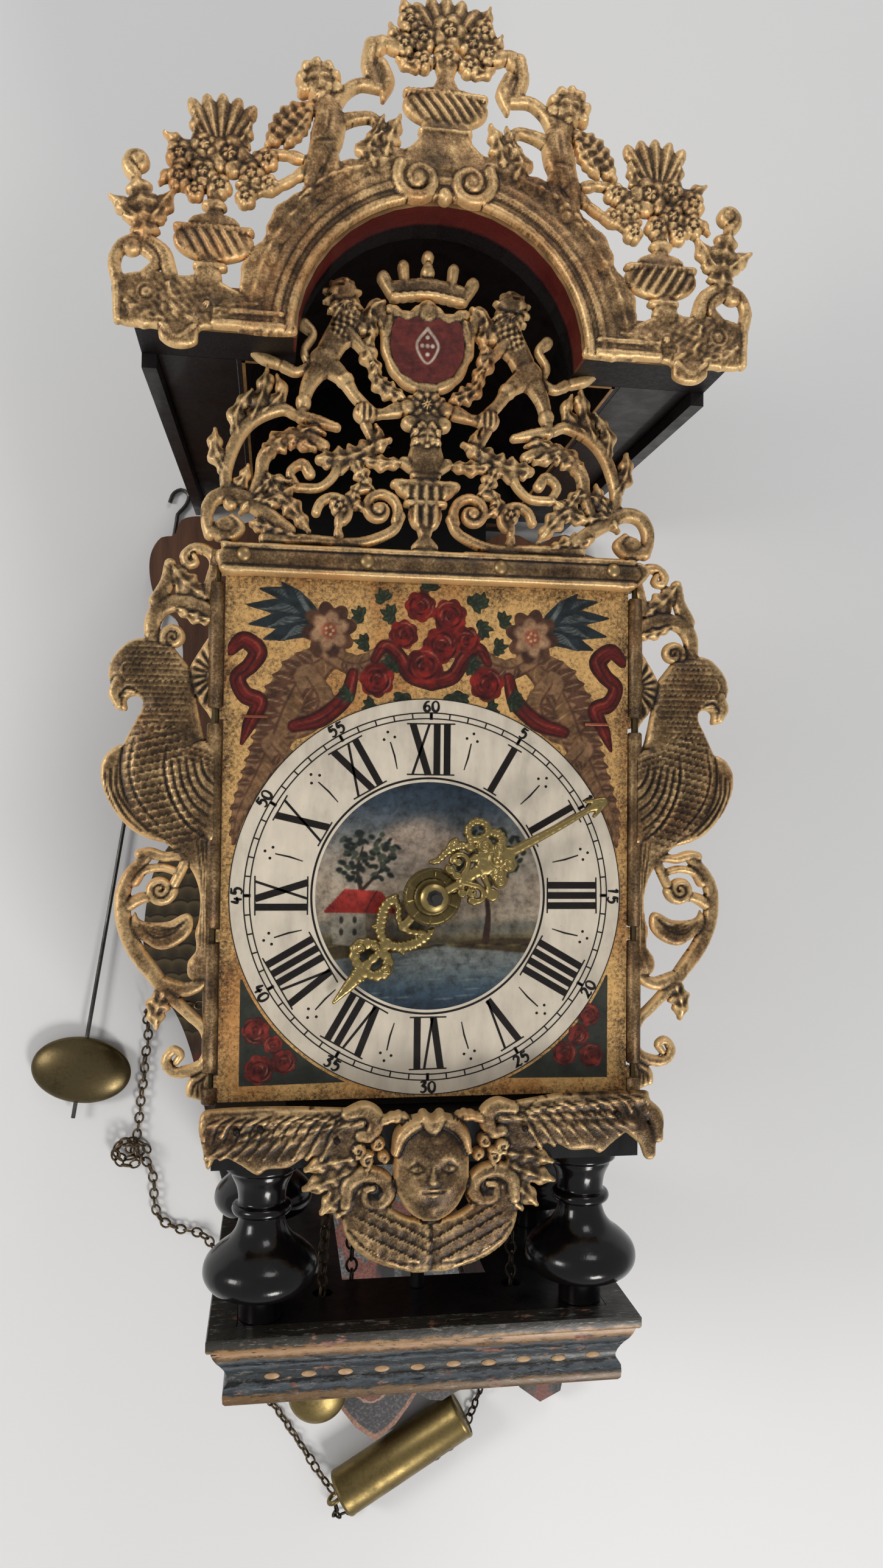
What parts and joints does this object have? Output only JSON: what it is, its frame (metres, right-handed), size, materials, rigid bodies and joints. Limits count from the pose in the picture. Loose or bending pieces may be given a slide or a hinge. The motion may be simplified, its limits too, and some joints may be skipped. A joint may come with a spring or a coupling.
{
  "type": "stool clock",
  "caption": "Antique wall clock on a stool bracket, laid on its back, with painted dial, cast gilt frets, turned columns, pendulum, weights and chains.",
  "frame": {"origin": "on the flat back of the backboard, behind the middle of the dial", "axes": "+Z out of the wall through the dial, +Y towards the top of the clock, +X to the right as the dial is read"},
  "size_m": [0.3426, 0.7572, 0.2503],
  "materials": {
    "lead_gilt": "aged gilt cast lead",
    "gilt_wood": "gilt moulding, worn",
    "black_wood": "black paint, semi-gloss",
    "painted_wood": "brown painted wood",
    "dark_red": "dark red paint",
    "painted_dial": "painted sheet",
    "brass": "brushed",
    "iron": "dark forged iron",
    "steel": "polished",
    "chain_iron": "bronzed iron links"
  },
  "bodies": {
    "clock_case": {"backboard": "painted_wood", "hanging_plate": "iron", "hood_front_board": "gilt_wood", "hood_vault": "dark_red", "hood_crest": "lead_gilt", "dial_plate": "painted_dial", "top_fret": "lead_gilt", "stool_top": "black_wood", "base_board": "black_wood", "base_moulding": "gilt_wood", "cherub_apron": "lead_gilt", "centre_dowel": "black_wood", "left_wing_board": "painted_wood", "right_wing_board": "painted_wood", "hood_left_side": "black_wood", "hood_right_side": "black_wood", "hood_left_soffit": "black_wood", "hood_right_soffit": "black_wood", "left_hinge_rod": "iron", "right_hinge_rod": "iron", "front_left_column": "black_wood", "front_right_column": "black_wood", "rear_left_column": "black_wood", "rear_right_column": "black_wood", "front_left_pillar": "iron", "front_right_pillar": "iron", "rear_left_pillar": "iron", "rear_right_pillar": "iron", "bottom_plate": "iron", "top_plate": "iron", "front_bar": "iron", "middle_bar": "iron", "back_bar": "iron", "bell": "brass", "bell_stand": "iron", "table_chain": "chain_iron", "left_front_chain": "chain_iron", "right_front_chain": "chain_iron", "rear_chain": "chain_iron"},
    "going_train": {"going_great_wheel": "brass"},
    "contrate": {"contrate_wheel": "brass"},
    "crown": {"crown_wheel": "brass"},
    "verge_staff": {"verge": "steel"},
    "strike_train": {"strike_great_wheel": "brass"},
    "hoop": {"hoop_wheel": "brass"},
    "fly_vane": {"fly": "brass"},
    "count": {"count_wheel": "brass"},
    "bell_hammer": {"hammer": "steel"},
    "minute_work": {"minute_arbor": "steel", "minute_hand": "brass"},
    "minute_transfer": {"minute_wheel": "brass"},
    "hour_work": {"hour_wheel": "brass", "hour_hand": "brass"},
    "alarm_setting": {"alarm_disc": "brass"},
    "left_parrot": {"left_fret": "lead_gilt"},
    "right_parrot": {"right_fret": "lead_gilt"},
    "pendulum": {"pendulum_rod": "steel", "pendulum_bob": "brass"},
    "drive_weight": {"weight": "brass"},
    "lens_weight": {"counterweight": "brass"}
  },
  "joints": [
    {"name": "contrate_turn", "type": "hinge", "parent": "clock_case", "child": "contrate", "pos_m": [0, -0.0135, 0.19], "axis": [0, 0, 1], "continuous": true},
    {"name": "going_turn", "type": "hinge", "parent": "clock_case", "child": "going_train", "pos_m": [0, -0.048, 0.18], "axis": [0, 0, 1], "continuous": true},
    {"name": "crown_turn", "type": "hinge", "parent": "clock_case", "child": "crown", "pos_m": [0, 0, 0.1825], "axis": [0, 1, 0], "continuous": true},
    {"name": "verge_swing", "type": "hinge", "parent": "clock_case", "child": "verge_staff", "pos_m": [0, 0.079, 0.15], "axis": [0, 0, 1], "range_deg": [-6, 6]},
    {"name": "hoop_turn", "type": "hinge", "parent": "clock_case", "child": "hoop", "pos_m": [0, -0.0135, 0.142], "axis": [0, 0, 1], "continuous": true},
    {"name": "strike_turn", "type": "hinge", "parent": "clock_case", "child": "strike_train", "pos_m": [0, -0.048, 0.15], "axis": [0, 0, 1], "continuous": true},
    {"name": "fly_turn", "type": "hinge", "parent": "clock_case", "child": "fly_vane", "pos_m": [0, 0.0125, 0.14], "axis": [0, 0, 1], "continuous": true},
    {"name": "count_turn", "type": "hinge", "parent": "clock_case", "child": "count", "pos_m": [0, -0.0175, 0.1237], "axis": [0, 0, 1], "continuous": true},
    {"name": "hammer_swing", "type": "hinge", "parent": "clock_case", "child": "bell_hammer", "pos_m": [0.036, 0.07, 0.143], "axis": [0, 0, 1], "range_deg": [-10, 6], "stiffness_Nm_per_rad": 0.05},
    {"name": "minute_turn", "type": "hinge", "parent": "clock_case", "child": "minute_work", "pos_m": [0, 0, 0.22], "axis": [0, 0, 1], "continuous": true},
    {"name": "transfer_turn", "type": "hinge", "parent": "clock_case", "child": "minute_transfer", "pos_m": [0.0305, 0, 0.205], "axis": [0, 0, 1], "continuous": true},
    {"name": "hour_turn", "type": "hinge", "parent": "clock_case", "child": "hour_work", "pos_m": [0, 0, 0.22], "axis": [0, 0, 1], "continuous": true},
    {"name": "alarm_turn", "type": "hinge", "parent": "hour_work", "child": "alarm_setting", "pos_m": [0, 0, 0.2337], "axis": [0, 0, 1], "continuous": true},
    {"name": "left_parrot_swing", "type": "hinge", "parent": "clock_case", "child": "left_parrot", "pos_m": [-0.0889, 0.03, 0.224], "axis": [0, -1, 0], "range_deg": [0, 80]},
    {"name": "right_parrot_swing", "type": "hinge", "parent": "clock_case", "child": "right_parrot", "pos_m": [0.0889, 0.03, 0.224], "axis": [0, 1, 0], "range_deg": [0, 80]},
    {"name": "pendulum_swing", "type": "hinge", "parent": "clock_case", "child": "pendulum", "pos_m": [-0.1233, 0.2304, 0.002], "axis": [0, 0, 1], "range_deg": [-12, 0]},
    {"name": "weight_roll", "type": "hinge", "parent": "clock_case", "child": "drive_weight", "pos_m": [-0.0196, -0.3707, 0.0138], "axis": [0.8643, 0.503, 0], "continuous": true},
    {"name": "lens_spin", "type": "hinge", "parent": "clock_case", "child": "lens_weight", "pos_m": [-0.035, -0.305, 0.0253], "axis": [0, 0, 1], "continuous": true}
  ],
  "couplings": [
    {"joint": "going_turn", "follows": "contrate_turn", "ratio": -0.083333},
    {"joint": "crown_turn", "follows": "contrate_turn", "ratio": -10},
    {"joint": "strike_turn", "follows": "hoop_turn", "ratio": -0.083333},
    {"joint": "fly_turn", "follows": "hoop_turn", "ratio": -9},
    {"joint": "count_turn", "follows": "hoop_turn", "ratio": 0.012821},
    {"joint": "transfer_turn", "follows": "minute_turn", "ratio": -1},
    {"joint": "hour_turn", "follows": "minute_turn", "ratio": 0.083333}
  ]
}
